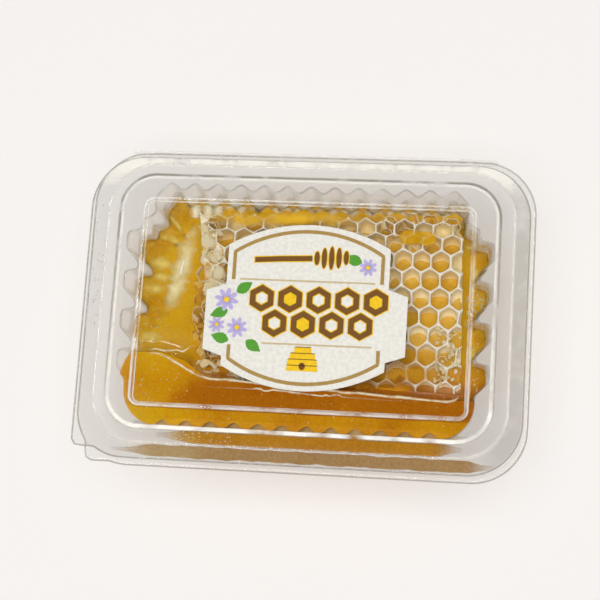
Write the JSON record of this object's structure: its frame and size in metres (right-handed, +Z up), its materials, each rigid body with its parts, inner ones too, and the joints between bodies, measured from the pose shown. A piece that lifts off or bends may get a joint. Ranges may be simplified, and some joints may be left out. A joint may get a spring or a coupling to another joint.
{
  "type": "pack of cut comb honey",
  "caption": "Clear hinged clamshell pack with a fluted tray, a stepped lid and a paper label, holding a slab of honeycomb in liquid honey.",
  "frame": {"origin": "on the ground under the middle of the pack's outline, the pack lying on its tray", "axes": "+Z up out of the lid, +Y towards the hinge, +X to the right along the pack's length, the opening tabs at the front left corner"},
  "size_m": [0.129, 0.0926, 0.0316],
  "materials": {
    "clear_tray": "clear, glossy thermoformed sheet",
    "clear_lid": "clear, glossy thermoformed sheet",
    "label_paper": "off-white semi-gloss paper with a coloured print",
    "beeswax": "pale wax, wet with honey",
    "honey": "clear amber liquid, glossy"
  },
  "bodies": {
    "tray": {"tray": "clear_tray", "honey": "honey", "comb": "beeswax"},
    "lid": {"lid": "clear_lid", "label": "label_paper"}
  },
  "joints": [
    {"name": "lid_hinge", "type": "hinge", "parent": "tray", "child": "lid", "pos_m": [0, 0.0452, 0.02715], "axis": [-1, 0, 0], "range_deg": [0, 180]}
  ]
}
